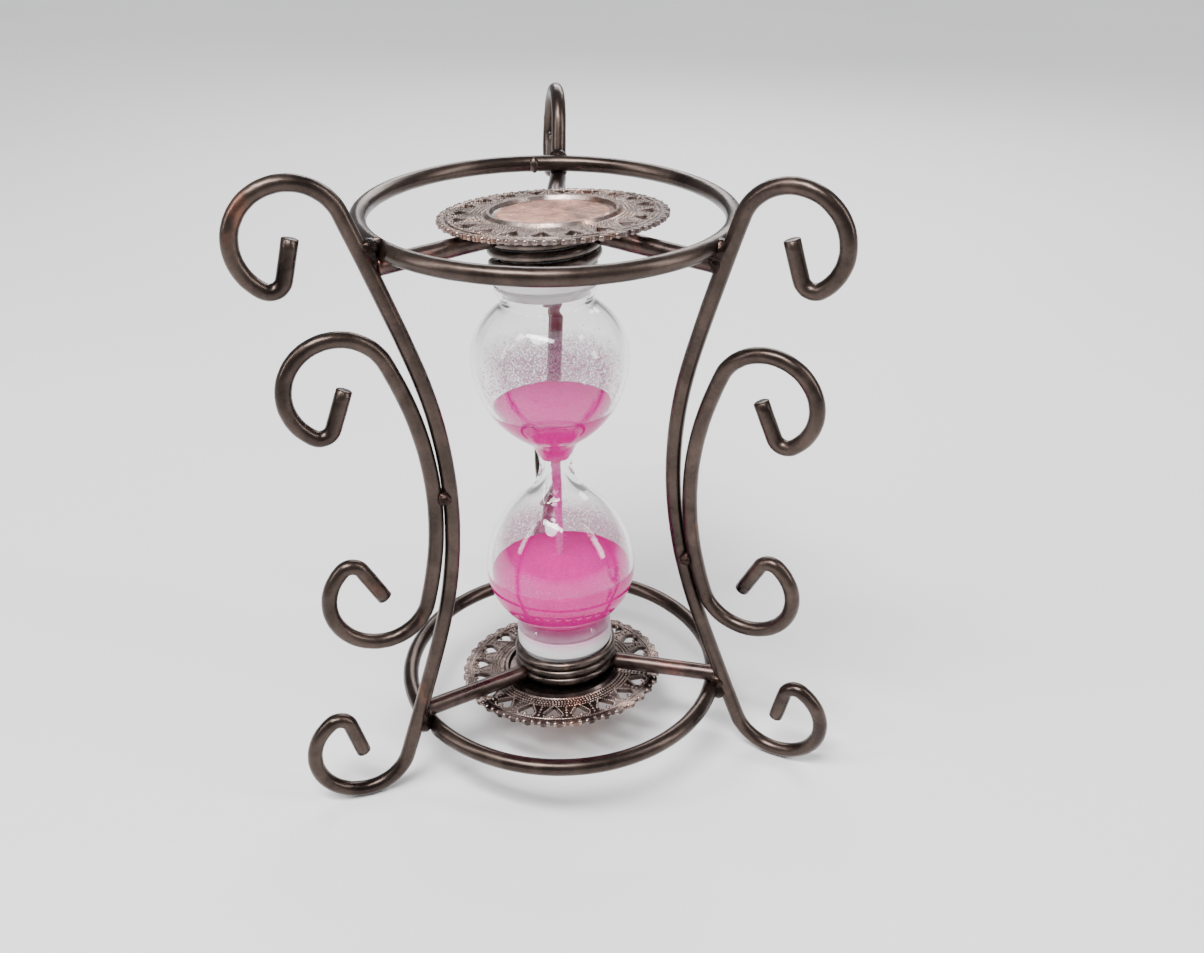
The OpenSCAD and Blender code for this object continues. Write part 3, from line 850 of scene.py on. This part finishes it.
def spaced(path, step):
    """Points every step along a closed path."""
    points, carry = [], 0.0
    for a, b in zip(path, path[1:] + path[:1]):
        a, b = Vector(a), Vector(b)
        length = (b - a).length
        while carry < length:
            points.append(a.lerp(b, carry / length))
            carry += step
        carry -= length
    return points


def granulation():
    """Flat points and sizes of the small beads that frame the hearts and fill between them."""
    beads, kept = [], []
    for i in range(HEARTS):
        turn = TAU * i / HEARTS
        for p in spaced(heart_curve(0.3), 0.5):
            x, y = HEART_AT + p.x, p.y
            beads.append((x * math.cos(turn) - y * math.sin(turn),
                          x * math.sin(turn) + y * math.cos(turn), 0.26))
    for radius, size in ((13.05, 0.3), (13.75, 0.3), (14.45, 0.28), (15.15, 0.26)):
        count = int(TAU * radius / (size * 2.15))
        for k in range(count):
            angle = TAU * k / count
            beads.append((radius * math.cos(angle), radius * math.sin(angle), size))
    for radius, size in ((15.8, 0.3), (16.6, 0.32), (17.5, 0.36), (18.4, 0.36)):
        for i in range(HEARTS):
            angle = TAU * (i + 0.5) / HEARTS
            beads.append((radius * math.cos(angle), radius * math.sin(angle), size))
    for i in range(HEARTS):
        turn = TAU * i / HEARTS
        for radius, size in ((18.62, 0.42), (18.25, 0.26)):
            kept.append((radius * math.cos(turn), radius * math.sin(turn), size))
    for x, y, size in beads:
        radius, angle = math.hypot(x, y), math.atan2(y, x)
        nearest = round(angle / TAU * HEARTS) * TAU / HEARTS
        along, across = radius * math.cos(angle - nearest) - HEART_AT, radius * math.sin(angle - nearest)
        if not in_heart(along, across):
            kept.append((x, y, size))
    return kept


def in_heart(x, y):
    """Whether a point lies in the heart opening, grown a little."""
    lobes = math.hypot(x - HEART_LOBE_R, abs(y) - HEART_LOBE_GAP) - HEART_LOBE_R
    cone = abs(y) - (x + HEART_TIP) * 0.66
    return lobes < 0.12 or (cone < 0.1 and -1.9 < x < 1.2)


def ridge_along(verts, faces, path, width, rise, base_z, place):
    """Adds to verts and faces a rounded rib along a closed path of flat points."""
    rings = []
    count = len(path)
    for i, p in enumerate(path):
        a, b = Vector(path[i - 1]), Vector(path[(i + 1) % count])
        along = (b - a).normalized()
        side = Vector((along.y, -along.x))
        ring = []
        for k in range(10):
            turn = TAU * k / 10
            flat = Vector(p) + side * width / 2 * math.cos(turn)
            ring.append(place @ (Vector((flat.x, flat.y, base_z + rise * math.sin(turn))) * MM))
        rings.append(ring)
    rib_verts, rib_faces = sweep(rings, closed=True)
    offset = len(verts)
    verts += rib_verts
    faces += [tuple(v + offset for v in face) for face in rib_faces]


def disc_place(node, up):
    """The disc's own frame: middle of its sheet, Z away from the vial's neck."""
    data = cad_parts[node].data
    inverse = VIAL.inverted()
    local = [inverse @ v.co for v in data.vertices]
    xs, ys = [p.x for p in local], [p.y for p in local]
    centre = Vector(((min(xs) + max(xs)) / 2, (min(ys) + max(ys)) / 2, 0))
    seat = (TOP_DISC_Z if up > 0 else BOTTOM_DISC_Z) * MM
    flip = Matrix.Identity(4) if up > 0 else Matrix.Diagonal((1, 1, -1, 1))
    return VIAL @ Matrix.Translation(centre) @ flip @ Matrix.Translation((0, 0, seat))


def copper_pad(node, place):
    """The flat copper-coloured middle of the disc, slightly domed."""
    outline = [(0, DISC_T - 0.2), (10.35, DISC_T - 0.2), (PAD_R, DISC_T), (10.2, DISC_T + 0.14),
               (8.0, DISC_T + 0.18), (4.0, DISC_T + 0.2), (0, DISC_T + 0.2)]
    verts, faces = lathe(rounded(outline, 0.2), place, 128)
    piece(node + "_pad", rough(verts, 0.05, 2.2, 3), faces, COPPER_PLATE, None)


def filigree(node, up):
    """The CAD sheet keeps its piercings; beaded hearts, ribs and a beaded edge are laid on it."""
    place = disc_place(node, up)
    plate = SATIN_PLATE if up > 0 else DARK_PLATE
    sheet = dress(node + "_sheet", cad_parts[node].data.copy(), plate, node, smooth=False)
    add_modifier(sheet, "BEVEL", width=0.1 * MM, segments=2, limit_method="ANGLE",
                 angle_limit=math.radians(40))
    verts, faces = [], []
    for side_z in (DISC_T, 0.0):
        for radius, width, rise in ((12.75, 0.4, 0.24), (19.45, 0.35, 0.22)):
            turns = [TAU * k / 160 for k in range(160)]
            circle = [(radius * math.cos(turn), radius * math.sin(turn)) for turn in turns]
            ridge_along(verts, faces, circle, width, rise, side_z, place)
    piece(node + "_ribs", verts, faces, BEAD_PLATE, None)
    beads = granulation()
    spots = [place @ spot(x, y, side_z, size) for side_z in (DISC_T, 0.0) for x, y, size in beads]
    verts, faces = copies(ball(1), spots)
    piece(node + "_granules", verts, faces, BEAD_PLATE, None)
    edge = []
    count = HEARTS * 4
    for i in range(count):
        angle = TAU * (i + 0.5) / count
        radius = 20.4 if i % 2 else 20.55
        x, y = radius * math.cos(angle), radius * math.sin(angle)
        edge.append(place @ spot(x, y, DISC_T / 2, (0.58, 0.58, 0.6)))
    verts, faces = copies(ball(3), edge)
    piece(node + "_edge_beads", verts, faces, BEAD_PLATE, None)
    copper_pad(node, place)


# ---------------------------------------------------------------- stage

def build_stage():
    mesh = bpy.data.meshes.new("floor")
    half = 12.0
    corners = [(-half, -half, 0), (half, -half, 0), (half, half, 0), (-half, half, 0)]
    mesh.from_pydata(corners, [], [(0, 1, 2, 3)])
    floor = bpy.data.objects.new("floor", mesh)
    bpy.context.scene.collection.objects.link(floor)
    s = Shade("floor")
    s.set(Specular_IOR_Level=0.3)
    s.link(s.ramp(s.noise(3, 3, 0.5), [(0.3, (0.8, 0.8, 0.8)), (0.7, (0.84, 0.84, 0.835))]), "Base Color")
    s.link(s.grey(s.noise(9, 3, 0.5), 0.55, 0.65), "Roughness")
    mesh.materials.append(s.material)


def area_light(name, at, aim, size, power, colour=(1, 1, 1)):
    data = bpy.data.lights.new(name, "AREA")
    data.shape = "RECTANGLE"
    data.size, data.size_y = size
    data.energy = power
    data.color = colour
    light = bpy.data.objects.new(name, data)
    light.location = at
    light.rotation_euler = (Vector(aim) - Vector(at)).to_track_quat("-Z", "Y").to_euler()
    bpy.context.scene.collection.objects.link(light)


def build_lights():
    middle_of_stand = (0, 0, 0.06)
    area_light("strip_over", (-0.08, -0.2, 0.5), middle_of_stand, (0.32, 0.05), 2.2)
    area_light("strip_left", (-0.45, -0.2, 0.4), middle_of_stand, (0.08, 0.5), 1.8)
    area_light("strip_right", (0.5, -0.1, 0.35), middle_of_stand, (0.08, 0.5), 1.8)
    area_light("softbox_back", (0.05, 0.55, 0.4), middle_of_stand, (0.5, 0.15), 2.5)
    sun_data = bpy.data.lights.new("sky_panel", "SUN")
    sun_data.energy = 2.6
    sun_data.angle = math.radians(22)
    sun = bpy.data.objects.new("sky_panel", sun_data)
    sun.rotation_euler = (math.radians(25), math.radians(-12), 0)
    bpy.context.scene.collection.objects.link(sun)
    world = bpy.data.worlds.new("studio")
    bpy.context.scene.world = world
    world.use_nodes = True
    background = world.node_tree.nodes["Background"]
    background.inputs["Color"].default_value = (0.94, 0.95, 1.0, 1)
    background.inputs["Strength"].default_value = 0.4


def build_camera():
    """The camera stands in front, a little to the right, and looks down on the stand."""
    pitch, yaw, roll = math.radians(29.52), math.radians(-3.88), math.radians(-0.43)
    focal_px, image_w, sensor = 1189.0, 1204, 36.0
    forward = Vector((math.sin(yaw) * math.cos(pitch), math.cos(yaw) * math.cos(pitch), -math.sin(pitch)))
    right = Vector((math.cos(yaw), -math.sin(yaw), 0))
    down = forward.cross(right)
    right_r = math.cos(roll) * right + math.sin(roll) * down
    down_r = -math.sin(roll) * right + math.cos(roll) * down
    data = bpy.data.cameras.new("camera")
    data.sensor_width = sensor
    data.lens = focal_px * sensor / image_w
    data.clip_start = 0.005
    camera = bpy.data.objects.new("camera", data)
    turn = Matrix((right_r, -down_r, -forward)).transposed().to_4x4()
    camera.matrix_world = Matrix.Translation((0.0228, -0.20447, 0.17469)) @ turn
    bpy.context.scene.collection.objects.link(camera)
    bpy.context.scene.camera = camera


# ---------------------------------------------------------------- scene

build_camera()
build_stage()
build_lights()
build_stand()
vial_glass()
stopper("top_stopper", 1)
stopper("bottom_stopper", -1)
socket_coil("top_coil", 1, TOP_COIL_TURNS, TOP_DISC_Z, 200)
socket_coil("bottom_coil", -1, BOTTOM_COIL_TURNS, BOTTOM_DISC_Z, 60)
sand_in_upper()
sand_in_lower()
sand_falling()
loose_grains()
dust_film("upper_dust_film", 1, UPPER_SAND_Z - 1, 24, UPPER_BULB_Z,
          film_material("upper_dust", 75, 81, 4))
dust_film("lower_dust_film", -1, 8, LOWER_SAND_Z + 0.5, LOWER_BULB_Z,
          film_material("lower_dust", 38, 47, 1))
filigree("top_filigree", 1)
filigree("bottom_filigree", -1)
